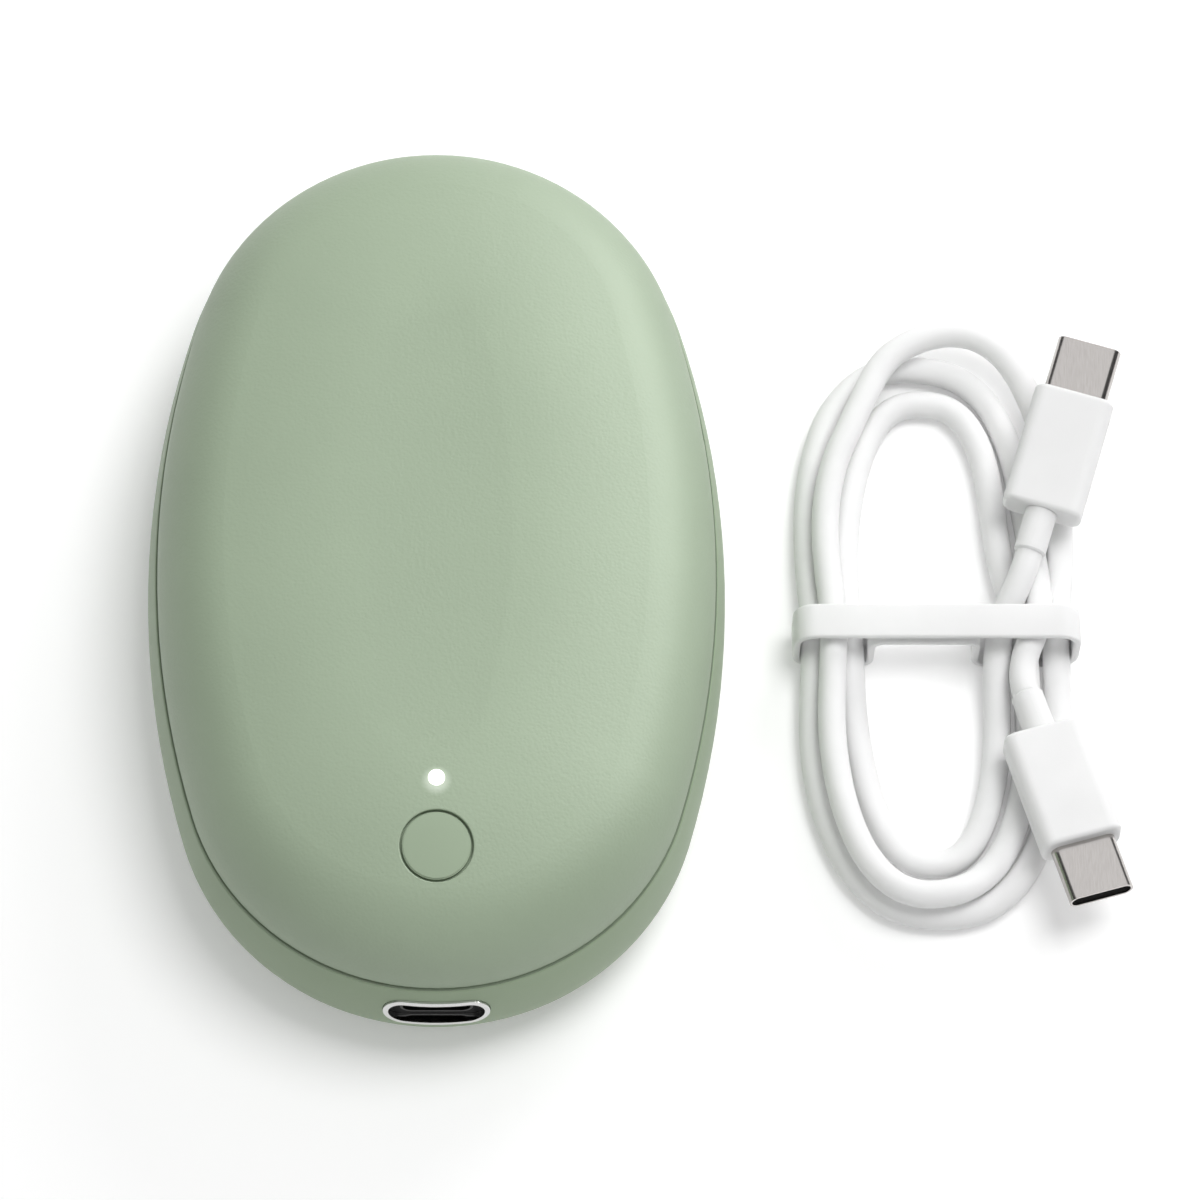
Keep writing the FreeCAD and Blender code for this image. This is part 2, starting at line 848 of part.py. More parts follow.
def inner_frame():
    """Cradle of the cells, with end walls, side rails and screw ears."""
    low = base_film_top
    front = cell_front - frame_wall_gap - frame_wall
    rear = cell_rear + frame_wall_gap + frame_wall
    floor_top = low + frame_floor
    rail_top = cell_height - frame_rail_drop
    wall_top = cell_height + frame_wall_height
    pieces = [
        box(Vector(-frame_rail_outer, front, low), Vector(frame_rail_outer, rear, floor_top)),
        box(Vector(-frame_rail_outer, front, low), Vector(frame_rail_outer, front + frame_wall, wall_top)),
        box(Vector(-frame_rail_outer, rear - frame_wall, low), Vector(frame_rail_outer, rear, wall_top)),
        box(Vector(-frame_rail_outer, front, low), Vector(-frame_rail_inner, rear, rail_top)),
        box(Vector(frame_rail_inner, front, low), Vector(frame_rail_outer, rear, rail_top)),
    ]
    pieces = [fuse(pieces).common(oval_prism(-frame_floor_inset, low, wall_top))]
    ear_top = frame_ear_height + frame_ear_thickness
    pieces += [post(frame_ear_radius, frame_ear_height, ear_top, x, y) for x, y in frame_boss_places()]
    frame = fuse(pieces)
    return frame.cut([post(screw_radius, frame_ear_height, ear_top, x, y) for x, y in frame_boss_places()])


def behind(front, low, high):
    """Space inside the case behind a front, between two heights."""
    return box(Vector(-half_width, front, low), Vector(half_width, half_length, high))


def heater_plate_top():
    """Dished heat spreader inside the cover's crown."""
    outer = oval_body(cover_arcs(wall + glue_gap))
    inner = oval_body(cover_arcs(wall + glue_gap + plate_thickness))
    low = case_height - wall - plate_thickness - top_plate_drop
    return outer.cut(inner).common(behind(top_plate_front, low, case_height))


def flat_film(inset, front, low, thickness):
    """Flat oval sheet behind a front."""
    return oval_prism(-inset, low, low + thickness).common(behind(front, low, low + thickness))


def heater_film_top():
    """Heating film on the flat middle of the upper spreader."""
    return flat_film(crown_inset + film_margin, top_plate_front + film_margin, top_film_low, film_thickness)


def foam_pad():
    """Foam between the cells and the upper film."""
    low = cell_height + cell_radius
    front = top_plate_front + film_margin + pad_margin
    return flat_film(crown_inset + film_margin, front, low, top_film_low - low)


def thermistor():
    """Temperature sensor on the upper film, in front of the foam."""
    height = thermistor_size[2]
    front = top_plate_front + film_margin + thermistor_setback
    return block(*thermistor_size, Vector(0, front, top_film_low - height))


def heater_plate_base():
    """Flat heat spreader on the base's floor."""
    return flat_film(base_plate_inset, base_plate_front, wall, plate_thickness)


def heater_film_base():
    """Heating film on the lower spreader."""
    low = wall + plate_thickness
    return flat_film(base_plate_inset + film_margin, base_plate_front + film_margin, low, film_thickness)


# Wires

def battery_leads():
    """Leads from the two link strips to the main board."""
    front_height = cell_height + front_lead_rise
    front_drop = near_end + front_lead_setback
    front = wire_lead([
        Vector(-cell_side, cell_front - strip_thickness, front_height),
        Vector(-cell_side, front_drop, front_height),
        Vector(-cell_side, front_drop, board_top),
    ], battery_lead_radius)
    rear_height = cell_height + rear_lead_rise
    rear_drop = near_end + rear_lead_setback
    rear = wire_lead([
        Vector(0, cell_rear, rear_height),
        Vector(0, rear_drop, rear_height),
        Vector(0, rear_drop, board_top),
    ], battery_lead_radius)
    return Part.makeCompound([front, rear])


def heater_leads_top():
    """Pair of leads from the upper film down to the main board."""
    height = top_film_low - heater_lead_radius
    start = top_plate_front + film_margin + thermistor_setback
    drop = near_end + heater_lead_setback
    pair = []
    for side in (-1, 1):
        pair.append(wire_lead([
            Vector(side * heater_lead_side, start, height),
            Vector(side * heater_lead_side, drop, height),
            Vector(side * heater_lead_side, drop, board_top),
        ], heater_lead_radius))
    return Part.makeCompound(pair)


def heater_leads_base():
    """Pair of leads from the lower film up to the main board."""
    height = base_film_top + heater_lead_radius
    start = near_end + base_lead_start_setback
    drop = near_end + base_lead_setback
    pair = []
    for side in (-1, 1):
        pair.append(wire_lead([
            Vector(side * heater_lead_side, start, height),
            Vector(side * heater_lead_side, drop, height),
            Vector(side * heater_lead_side, drop, board_low),
        ], heater_lead_radius))
    return Part.makeCompound(pair)


# Charging lead

def plug_frame(end, heading):
    """Frame of a plug: origin where the lead enters its collar, +Y up and on towards its tip."""
    return Placement(end, Rotation(z_axis, -heading).multiply(Rotation(x_axis, plug_pitch)))


plug_frames = {
    "a": plug_frame(plug_a_end, plug_a_heading),
    "b": plug_frame(plug_b_end, plug_b_heading),
}


def station_slopes(column):
    """Slopes of one column of the stations, level at each high and low, so that none overshoots."""
    steps = []
    for before, after in zip(hank_stations, hank_stations[1:]):
        steps.append((after[column] - before[column]) / (after[0] - before[0]))
    slopes = [0]
    for before, after in zip(steps, steps[1:]):
        level = before * after <= 0
        slopes.append(0 if level else 2 * before * after / (before + after))
    return slopes + [0]


station_columns = {column: station_slopes(column) for column in (1, 2)}


def between_stations(turn, column):
    """Value of one column at a turn, on a smooth curve through the stations."""
    index = 0
    while index < len(hank_stations) - 2 and turn > hank_stations[index + 1][0]:
        index += 1
    before, after = hank_stations[index], hank_stations[index + 1]
    width = after[0] - before[0]
    share = (turn - before[0]) / width
    slopes = station_columns[column]
    blend = share * share * (3 - 2 * share)
    start_pull = share * (1 - share) ** 2 * slopes[index] * width
    end_pull = share * share * (share - 1) * slopes[index + 1] * width
    return before[column] + (after[column] - before[column]) * blend + start_pull + end_pull


def hank_point(turn):
    """Point of the hank's loops: a flattened oval, drawn in and lifted at its tied waist."""
    outward = between_stations(turn, 1)
    across = math.cos(2 * math.pi * turn)
    along = math.sin(2 * math.pi * turn)
    swell = (abs(across) ** hank_power + abs(along) ** hank_power) ** (-1 / hank_power)
    y = -(hank_half_length + outward) * along * swell
    waist = math.exp(-((hank_middle.y + y - tie_middle) / waist_span) ** 2)
    x = (hank_half_width + outward) * across * swell - math.copysign(waist_draw * waist, across)
    z = low_layer + layer_rise * between_stations(turn, 2) + waist_lift * waist
    return hank_middle + Vector(x, y, z)


def hank_heading(turn):
    """Direction of the loops at a turn."""
    step_share = 1e-4
    return (hank_point(turn + step_share) - hank_point(turn - step_share)).normalize()


def lead_route():
    """Points and directions of the whole lead, from plug a to plug b."""
    leave_a = plug_frames["a"].Rotation.multVec(-y_axis)
    enter_b = plug_frames["b"].Rotation.multVec(y_axis)
    count = hank_loops * hank_steps_per_loop
    turns = [index / hank_steps_per_loop for index in range(count + 1)]
    loops = [hank_point(turn) for turn in turns]
    points = [plug_a_end, plug_a_end + leave_a * lead_diameter] + loops
    points += [plug_b_end - enter_b * lead_diameter, plug_b_end]
    headings = [leave_a, leave_a]
    for index, turn in enumerate(turns):
        if 0 < index < count:
            headings.append(hank_heading(turn))
        else:
            before, here, after = points[index + 1:index + 4]
            arrive, leave = here - before, after - here
            blend = arrive * (leave.Length / arrive.Length) + leave * (arrive.Length / leave.Length)
            headings.append(blend.normalize())
    return points, headings + [enter_b, enter_b]


def biarc_join(start, heading, end, end_heading):
    """Where the two arcs of a biarc meet."""
    chord = end - start
    both = heading + end_heading
    spread = 2 * (1 - heading.dot(end_heading))
    along = chord.dot(both)
    if spread < straight_limit ** 2:
        reach = chord.dot(chord) / (4 * chord.dot(end_heading))
    else:
        reach = (math.sqrt(along ** 2 + spread * chord.dot(chord)) - along) / spread
    return (start + end + (heading - end_heading) * reach) / 2


def lead_edges():
    """Arcs of the whole lead."""
    points, headings = lead_route()
    edges = []
    for index in range(len(points) - 1):
        start, end = points[index], points[index + 1]
        heading, end_heading = headings[index], headings[index + 1]
        join = biarc_join(start, heading, end, end_heading)
        chord = (join - start).normalize()
        join_heading = chord * (2 * heading.dot(chord)) - heading
        edges.append(arc_edge(start, heading, join))
        edges.append(arc_edge(join, join_heading, end))
    return edges


def least_self_gap(edges):
    """Least gap between stretches of the lead that lie far apart along it."""
    samples = []
    travelled = 0
    points_per_edge = 6
    for edge in edges:
        for index, point in enumerate(edge.discretize(points_per_edge)[:-1]):
            samples.append((travelled + edge.Length * index / (points_per_edge - 1), point))
        travelled += edge.Length
    least = travelled
    apart = 5 * lead_diameter
    for index, (here, point) in enumerate(samples):
        for there, other in samples[index + 1:]:
            if there - here > apart:
                least = min(least, point.distanceToPoint(other))
    return least - lead_diameter


def charging_lead():
    """The lead from collar to collar, one unbroken tube."""
    edges = lead_edges()
    points, headings = lead_route()
    lead = tube(edges, lead_diameter / 2, points[0], headings[0])
    length = sum(edge.Length for edge in edges)
    radii = [edge.Curve.Radius for edge in edges if hasattr(edge.Curve, "Radius")]
    section = math.pi * lead_diameter ** 2 / 4
    print("lead length", round(length, 1), "least bend radius", round(min(radii), 2))
    print("lead volume over section times length", round(lead.Volume / (section * length), 4))
    print("lead's least gap to itself", round(least_self_gap(edges), 3))
    return lead


def rounded_loop(left, right, low, high, radius, front):
    """Face with rounded corners in an X and Z plane."""
    slant = radius * (1 - math.cos(quarter_turn / 2))
    corners = (
        (Vector(left, front, low + radius), Vector(left + slant, front, low + slant),
         Vector(left + radius, front, low)),
        (Vector(right - radius, front, low), Vector(right - slant, front, low + slant),
         Vector(right, front, low + radius)),
        (Vector(right, front, high - radius), Vector(right - slant, front, high - slant),
         Vector(right - radius, front, high)),
        (Vector(left + radius, front, high), Vector(left + slant, front, high - slant),
         Vector(left, front, high - radius)),
    )
    edges = []
    for index, points in enumerate(corners):
        following = corners[(index + 1) % len(corners)]
        edges.append(Part.Arc(*points).toShape())
        edges.append(Part.makeLine(points[-1], following[0]))
    return Part.Face(Part.Wire(edges))


def rounded_line(points, bends):
    """Closed line through corners, each rounded by its own bend radius."""
    count = len(points)
    edges = []
    starts, ends, headings = [], [], []
    for index, bend in enumerate(bends):
        before, here, after = points[index - 1], points[index], points[(index + 1) % count]
        arrive, leave = (here - before).normalize(), (after - here).normalize()
        cut_back = bend * math.tan(arrive.getAngle(leave) / 2)
        starts.append(here - arrive * cut_back)
        ends.append(here + leave * cut_back)
        headings.append(arrive)
    for index in range(count):
        edges.append(arc_edge(starts[index], headings[index], ends[index]))
        edges.append(Part.makeLine(ends[index], starts[(index + 1) % count]))
    return Part.Wire(edges)


def cable_tie():
    """Flat band round the hank's waist, pinched together between the two bundles."""
    front = tie_middle - tie_width / 2
    half = tie_thickness / 2
    left, right = tie_left + half, tie_right - half
    low, high = half, tie_height - half
    pinch = high - tie_pinch_gap
    left_wall, right_wall = tie_left + tie_left_loop, tie_right - tie_right_loop
    corners = (
        (left, low, tie_corner - half),
        (left_wall, low, tie_pinch_bend),
        (left_wall, pinch, tie_pinch_bend),
        (right_wall, pinch, tie_pinch_bend),
        (right_wall, low, tie_pinch_bend),
        (right, low, tie_corner - half),
        (right, high, tie_corner - half),
        (left, high, tie_corner - half),
    )
    points = [Vector(x, front, z) for x, z, bend in corners]
    line = rounded_line(points, [bend for x, z, bend in corners])
    outer, inner = Part.Face(line.makeOffset2D(half)), Part.Face(line.makeOffset2D(-half))
    return outer.cut(inner).extrude(Vector(0, tie_width, 0))


def plug_stadium(width, height, front, back):
    """Prism with half-round ends along a plug's own axis."""
    prism = stadium(width, height, front, back)
    prism.translate(Vector(0, 0, -port_height))
    return prism


def plug_collar():
    """Sleeve where the lead enters the plug."""
    sleeve = Part.makeCylinder(collar_radius, collar_length, Vector(0, 0, 0), y_axis)
    edges = [edge for edge in sleeve.Edges if edge.BoundBox.YMax < collar_length / 2]
    return sleeve.makeChamfer(collar_edge, edges)


def plug_grip():
    """Moulded grip of the plug."""
    face = rounded_loop(-grip_width / 2, grip_width / 2, -grip_thickness / 2, grip_thickness / 2,
                        grip_corner, collar_length)
    grip = face.extrude(Vector(0, grip_length, 0))
    ends = [edge for edge in grip.Edges if edge.BoundBox.YLength < grip_length / 2]
    return grip.makeFillet(grip_edge, ends)


def plug_shell():
    """Metal shell of the plug."""
    front = collar_length + grip_length
    back = front + plug_shell_length
    bore_width = plug_shell_width - 2 * plug_shell_wall
    bore_height = plug_shell_height - 2 * plug_shell_wall
    return plug_stadium(plug_shell_width, plug_shell_height, front, back).cut(
        plug_stadium(bore_width, bore_height, front - overrun, back + overrun))


def plug_insert():
    """Contact block inside the plug's shell, open for the socket's tongue."""
    front = collar_length + grip_length
    tip = front + plug_shell_length - plug_insert_recess
    width = plug_shell_width - 2 * plug_shell_wall - 2 * fit_clearance
    height = plug_shell_height - 2 * plug_shell_wall - 2 * fit_clearance
    slot_height = tongue_thickness + 2 * contact_thickness + 2 * glue_gap
    slot = box(Vector(-tongue_width / 2 - glue_gap, tip - plug_slot_depth, -slot_height / 2),
               Vector(tongue_width / 2 + glue_gap, tip + overrun, slot_height / 2))
    return plug_stadium(width, height, front, tip).cut(slot)


pieces = {
    "top_cover": top_cover(),
    "base_shell": base_shell(),
    "seal_ring": seal_ring(),
    "parting_gasket": parting_gasket(),
    "usb_bezel": usb_bezel(),
    "port_insert": port_insert(),
    "usb_shell": usb_shell(),
    "usb_tongue": usb_tongue(),
    "usb_contacts": usb_contacts(),
    "main_board": main_board(),
    "board_components": board_components(),
    "ribbon_sockets": ribbon_sockets(),
    "button_ribbon": button_ribbon(),
    "board_screws": screws_at(board_boss_places(), board_top),
    "frame_screws": screws_at(frame_boss_places(), frame_ear_height + frame_ear_thickness),
    "power_button": power_button(),
    "tact_switch": tact_switch(),
    "switch_plunger": switch_plunger(),
    "button_board": button_board(),
    "button_board_screws": button_board_screws(),
    "status_led": status_led(),
    "light_pipe": light_pipe(),
    "battery_cell_left": battery_cell(-1),
    "battery_cell_right": battery_cell(1),
    "link_strip_front": link_strip(cell_front - strip_thickness, front_strip_half_height),
    "link_strip_rear": link_strip(cell_rear, rear_strip_half_height),
    "inner_frame": inner_frame(),
    "heater_plate_top": heater_plate_top(),
    "heater_film_top": heater_film_top(),
    "foam_pad": foam_pad(),
    "thermistor": thermistor(),
    "heater_plate_base": heater_plate_base(),
    "heater_film_base": heater_film_base(),
    "battery_leads": battery_leads(),
    "heater_leads_top": heater_leads_top(),
    "heater_leads_base": heater_leads_base(),
    "charging_lead": charging_lead(),
    "cable_tie": cable_tie(),
}
plug_makers = {"collar": plug_collar, "grip": plug_grip, "shell": plug_shell, "insert": plug_insert}
for plug, frame in plug_frames.items():
    for kind, maker in plug_makers.items():
        piece = maker()
        piece.Placement = frame.multiply(piece.Placement)
        pieces["plug_" + plug + "_" + kind] = piece

os.makedirs("parts", exist_ok=True)
for name, shape in pieces.items():
    print(name, "valid" if shape.isValid() else "not valid", len(shape.Solids), round(shape.Volume, 2))
    shape.exportStep(os.path.join("parts", name + ".step"))
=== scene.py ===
import math

import bpy
from mathutils import Matrix, Vector


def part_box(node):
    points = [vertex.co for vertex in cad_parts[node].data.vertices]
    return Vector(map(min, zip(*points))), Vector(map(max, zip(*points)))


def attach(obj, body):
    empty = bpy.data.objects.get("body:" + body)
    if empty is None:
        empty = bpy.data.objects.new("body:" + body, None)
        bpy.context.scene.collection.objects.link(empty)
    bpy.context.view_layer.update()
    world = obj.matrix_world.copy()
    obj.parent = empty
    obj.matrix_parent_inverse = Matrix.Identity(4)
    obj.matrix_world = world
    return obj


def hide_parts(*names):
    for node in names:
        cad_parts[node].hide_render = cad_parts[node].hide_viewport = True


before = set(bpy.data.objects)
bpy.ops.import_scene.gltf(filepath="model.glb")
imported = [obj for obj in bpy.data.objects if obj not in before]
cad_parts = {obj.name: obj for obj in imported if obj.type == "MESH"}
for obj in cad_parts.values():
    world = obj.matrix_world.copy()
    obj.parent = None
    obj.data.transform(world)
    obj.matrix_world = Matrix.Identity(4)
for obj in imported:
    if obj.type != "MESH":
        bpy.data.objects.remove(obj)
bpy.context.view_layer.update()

# Lengths below are in metres, as mm times a number in millimetres
mm = 0.001

# Camera, at the photograph's long-lens view from the near end
view_tilt = math.radians(25)
view_distance = 837.5 * mm
view_aim = Vector((0, 0, 16.4)) * mm
view_clip = 10 * mm
lens_mm = 200
sensor_mm = 36
# The warmer stands left of the picture's middle and is seen straight on, so the lens is shifted
lens_shift = (0.13625, -0.0281)

# Lights: a key nearly overhead, a side light from the far right, and a panel that gives the case its sheen
sky_ambient = 0.42
light_aim = Vector((20, 0, 10)) * mm
key_place = Vector((280, 120, 904)) * mm
key_size = 500 * mm
key_power = 4.45
side_place = Vector((470, 760, 450)) * mm
side_size = 500 * mm
side_power = 3.1
panel_place = Vector((660, 500, 550)) * mm
panel_size = 900 * mm
panel_power = 9.5
panel_nodes = ("top_cover", "base_shell", "power_button", "usb_bezel")

# Dark cards of the studio: how far a direction leans left or right where they begin and where they are full
card_edge = 0.56
card_full = 0.64
card_strength = 0.08

# Floor: white paper, lifted a little so that it is white where no shadow falls
floor_half_side = 4000 * mm
floor_paper = (0.9, 0.9, 0.9)
floor_lift = 0.22

# Charging lead
lead_diameter = 3.5 * mm
lead_curve_steps = 10
lead_round_steps = 6
hank_middle = Vector((63.0, -2.3, 0.0)) * mm
hank_half_width = 13.9 * mm
hank_half_length = 36.6 * mm
hank_power = 2.6
hank_loops = 3
hank_steps_per_loop = 32
waist_draw = 0.9 * mm
waist_span = 9.0 * mm
waist_lift = 1.12 * mm
low_layer = 1.83 * mm
layer_rise = 3.98 * mm
plug_a_end = Vector((75.3, 5.5, 8.4)) * mm
plug_a_heading = math.radians(17.0)
plug_b_end = Vector((74.4, -13.4, 6.8)) * mm
plug_b_heading = math.radians(164.2)
plug_pitch = math.radians(5)

# Stations along the loops: turn, step outward in millimetres, share of the rise to the upper layer
turn_column, outward_column, layer_column = 0, 1, 2
hank_stations = (
    (0.000, -4.4, 0.58),
    (0.025, -5.1, 0.22),
    (0.060, -5.3, 0.0),
    (0.130, -5.3, 0.0),
    (0.255, -4.3, 0.0),
    (0.411, -3.5, 0.0),
    (0.500, -2.6, 0.0),
    (0.600, -3.1, 0.0),
    (0.766, -4.5, 0.0),
    (0.860, -4.2, 0.0),
    (0.940, -4.8, 0.0),
    (0.965, -4.0, 0.0),
    (1.000, -1.5, 0.0),
    (1.030, -1.3, 0.0),
    (1.105, -1.2, 0.0),
    (1.165, -0.8, 0.42),
    (1.235, 1.0, 1.0),
    (1.280, 1.5, 1.0),
    (1.413, 0.3, 0.95),
    (1.500, -0.5, 0.83),
    (1.572, 0.1, 0.95),
    (1.640, -1.3, 1.0),
    (1.700, 1.1, 1.0),
    (1.772, 4.0, 1.0),
    (1.830, 5.0, 0.85),
    (1.900, 4.4, 0.0),
    (1.960, 3.4, 0.0),
    (1.985, 3.0, 0.0),
    (2.010, 2.5, 0.0),
    (2.050, 2.6, 0.0),
    (2.125, 2.6, 0.0),
    (2.255, 2.6, 0.0),
    (2.400, 2.6, 0.0),
    (2.500, 1.75, 0.0),
    (2.611, 2.6, 0.0),
    (2.660, 1.9, 0.0),
    (2.777, 0.2, 0.0),
    (2.860, -0.2, 0.0),
    (2.930, -0.6, 0.0),
    (2.960, -0.5, 0.34),
    (2.985, 0.85, 0.75),
    (3.000, 0.75, 0.93),
)

# Tie band
tie_middle = -4.3 * mm
tie_thickness = 0.9 * mm
tie_corner = 3.0 * mm
tie_edge = 0.3 * mm
tie_left_loop = 9.95 * mm
tie_right_loop = 13.15 * mm
tie_pinch_gap = 2.0 * mm
tie_pinch_bend = 1.6 * mm
tie_bend_steps = 8
tie_edge_steps = 4

# Colours
sage = (0.326, 0.408, 0.288)
sage_base = (0.305, 0.391, 0.261)
# Parting gasket: sage darkened as painted shade, so that the seam between cover and base reads as a dark
# groove
sage_painted_seam_shade = (0.187, 0.236, 0.165)
white = (0.88, 0.88, 0.88)
white_jacket = (0.92, 0.92, 0.92)
pure_white = (1, 1, 1)
black = (0.008, 0.008, 0.008)
rubber_black = (0.03, 0.03, 0.03)
ivory = (0.74, 0.70, 0.58)
film_amber = (0.55, 0.28, 0.05)
sleeve_blue = (0.08, 0.22, 0.42)
sensor_brown = (0.40, 0.10, 0.04)
led_yellow = (0.90, 0.88, 0.55)
ribbon_grey = (0.72, 0.72, 0.70)
wire_red = (0.45, 0.04, 0.03)
chrome_grey = (0.68, 0.68, 0.675)
# USB socket: steel darkened nearly to black as painted shade inside the port
socket_painted_shade_grey = (0.06, 0.06, 0.06)
steel_grey = (0.30, 0.30, 0.29)
nickel_grey = (0.56, 0.535, 0.52)
gold_yellow = (0.83, 0.62, 0.25)
aluminium_grey = (0.78, 0.79, 0.80)
pipe_dark, pipe_light = (0.86, 0.90, 0.86), (0.95, 0.98, 0.95)
pipe_glow = (1.0, 1.0, 0.98)
mask_dark, mask_light = (0.02, 0.16, 0.06), (0.03, 0.22, 0.09)
mask_lane = (0.06, 0.32, 0.14)
foam_dark, foam_light = (0.12, 0.12, 0.13), (0.28, 0.28, 0.29)

# Values of a noise at which its dark colour and its light colour are full
noise_low = 0.3
noise_high = 0.7

# Soft-touch cover with a leather grain
cover_roughness = 0.52
cover_roughness_spread = 0.08
cover_sheen = 0.75
cover_patch = 22 * mm
cover_patch_detail = 4.0
cover_patch_spread = 0.025
cover_pebble = 0.45 * mm
pebble_smoothness = 0.6
cover_wrinkle = 0.28 * mm
cover_wrinkle_detail = 3.0
cover_wrinkle_share = 0.8
cover_bump = 0.045 * mm
cover_bump_strength = 0.6

# Glow of the light on the cover. The light pipe leans, so its lit end is nearer than its middle
glow_shift = 1.0 * mm
glow_full = 0.8 * mm
glow_none = 2.1 * mm
glow_strength = 0.24

# Moulded plastic
plastic_patch = 18 * mm
plastic_patch_detail = 3.0
plastic_patch_spread = 0.04
plastic_spark = 0.25 * mm
plastic_bump = 0.02 * mm
plastic_bump_strength = 0.3
plastic_roughness_spread = 0.05
plain_sheen = 0.5
black_sheen = 0.15
white_sheen = 0.25
white_milkiness = 0.6
milky_depth = 0.6 * mm

# Drawn metal: its noise is squeezed along the axis in which the lines run
metal_line = 0.15 * mm
metal_line_detail = 3.0
metal_bump = 0.01 * mm
metal_bump_strength = 0.25
metal_smoother = 0.06
metal_rougher = 0.08
metal_darker = 0.94
metal_lighter = 1.04
no_lines = (1, 1, 1)
lines_along_x = (0.05, 1, 1)
lines_along_y = (1, 0.05, 1)

# Light pipe
pipe_roughness = 0.3
pipe_cloud = 1.5 * mm
pipe_strength = 1.6

# Circuit boards
mask_roughness = 0.35
lane_pitch = 4 * mm
lane_bump = 0.03 * mm
lane_bump_strength = 0.4

# Cord jackets
jacket_roughness = 0.43
jacket_roughness_spread = 0.05
jacket_sheen = 0.15
jacket_milkiness = 0.6
jacket_depth = 0.9 * mm
jacket_patch = 6 * mm
jacket_patch_spread = 0.02
jacket_pore = 0.35 * mm
jacket_bump = 0.01 * mm
jacket_bump_strength = 0.3

# Foam
foam_roughness = 0.9
foam_pore = 0.6 * mm
foam_bump = 0.1 * mm


# Camera, lights and floor

def add_camera():
    data = bpy.data.cameras.new("camera")
    data.lens = lens_mm
    data.sensor_width = sensor_mm
    data.shift_x, data.shift_y = lens_shift
    data.clip_start = view_clip
    camera = bpy.data.objects.new("camera", data)
    bpy.context.collection.objects.link(camera)
    back = Vector((0, -math.sin(view_tilt), math.cos(view_tilt)))
    camera.location = view_aim + back * view_distance
    camera.rotation_euler = (view_tilt, 0, 0)
    bpy.context.scene.camera = camera


def add_area_light(name, place, size, power, mirrored):
    """Round soft light, which is either only mirrored by surfaces or only lights them."""
    data = bpy.data.lights.new(name, "AREA")
    data.shape = "DISK"
    data.size = size
    data.energy = power
    light = bpy.data.objects.new(name, data)
    bpy.context.collection.objects.link(light)
    light.location = place
    light.rotation_euler = (light_aim - place).to_track_quat("-Z", "Y").to_euler()
    light.visible_diffuse = not mirrored
    light.visible_glossy = mirrored
    return light


def light_only(light, names):
    """Keep a light on a few nodes, as a flag does in a studio."""
    lit = bpy.data.collections.new(light.name + "_lit")
    for name in names:
        lit.objects.link(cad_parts[name])
    light.light_linking.receiver_collection = lit


def add_lights():
    add_area_light("key", key_place, key_size, key_power, mirrored=False)
    add_area_light("side", side_place, side_size, side_power, mirrored=False)
    panel = add_area_light("sheen", panel_place, panel_size, panel_power, mirrored=True)
    light_only(panel, panel_nodes)


def seen_directly(nodes, links):
    """1 where the camera, a mirror or clear plastic looks straight at a surface, else 0."""
    path = nodes.new("ShaderNodeLightPath")
    first = nodes.new("ShaderNodeMath")
    first.operation = "MAXIMUM"
    links.new(path.outputs["Is Camera Ray"], first.inputs[0])
    links.new(path.outputs["Is Glossy Ray"], first.inputs[1])
    both = nodes.new("ShaderNodeMath")
    both.operation = "MAXIMUM"
    links.new(first.outputs[0], both.inputs[0])
    links.new(path.outputs["Is Transmission Ray"], both.inputs[1])
    return both.outputs[0]


def sky_between_cards(nodes, links):
    """Strength of the white sky that is seen directly, between a dark card on each side."""
    direction = nodes.new("ShaderNodeTexCoord").outputs["Generated"]
    parts = nodes.new("ShaderNodeSeparateXYZ")
    links.new(direction, parts.inputs[0])
    aside = nodes.new("ShaderNodeMath")
    aside.operation = "ABSOLUTE"
    links.new(parts.outputs["X"], aside.inputs[0])
    fade = nodes.new("ShaderNodeMapRange")
    fade.inputs["From Min"].default_value = card_edge
    fade.inputs["From Max"].default_value = card_full
    fade.inputs["To Min"].default_value = 1
    fade.inputs["To Max"].default_value = card_strength
    links.new(aside.outputs[0], fade.inputs["Value"])
    return fade.outputs["Result"]


def set_world():
    world = bpy.data.worlds.new("studio")
    bpy.context.scene.world = world
    world.use_nodes = True
    nodes, links = world.node_tree.nodes, world.node_tree.links
    background = nodes["Background"]
    background.inputs["Color"].default_value = (*pure_white, 1)
    strength = nodes.new("ShaderNodeMapRange")
    strength.inputs["To Min"].default_value = sky_ambient
    links.new(sky_between_cards(nodes, links), strength.inputs["To Max"])
    links.new(seen_directly(nodes, links), strength.inputs["Value"])
    links.new(strength.outputs["Result"], background.inputs["Strength"])


def floor_material():
    """White paper with a faint glow, which only shows where it is seen directly."""
    material = bpy.data.materials.new("floor_paper")
    material.use_nodes = True
    nodes, links = material.node_tree.nodes, material.node_tree.links
    nodes.clear()
    output = nodes.new("ShaderNodeOutputMaterial")
    paper = nodes.new("ShaderNodeBsdfDiffuse")
    paper.inputs["Color"].default_value = (*floor_paper, 1)
    glow = nodes.new("ShaderNodeEmission")
    strength = nodes.new("ShaderNodeMath")
    strength.operation = "MULTIPLY"
    strength.inputs[1].default_value = floor_lift
    links.new(seen_directly(nodes, links), strength.inputs[0])
    links.new(strength.outputs[0], glow.inputs["Strength"])
    both = nodes.new("ShaderNodeAddShader")
    links.new(paper.outputs[0], both.inputs[0])
    links.new(glow.outputs[0], both.inputs[1])
    links.new(both.outputs[0], output.inputs["Surface"])
    return material


def add_floor():
    mesh = bpy.data.meshes.new("floor")
    sides = ((-1, -1), (1, -1), (1, 1), (-1, 1))
    corners = [(x * floor_half_side, y * floor_half_side, 0) for x, y in sides]
    mesh.from_pydata(corners, [], [(0, 1, 2, 3)])
    mesh.materials.append(floor_material())
    floor = bpy.data.objects.new("floor", mesh)
    bpy.context.collection.objects.link(floor)


# Parts of materials

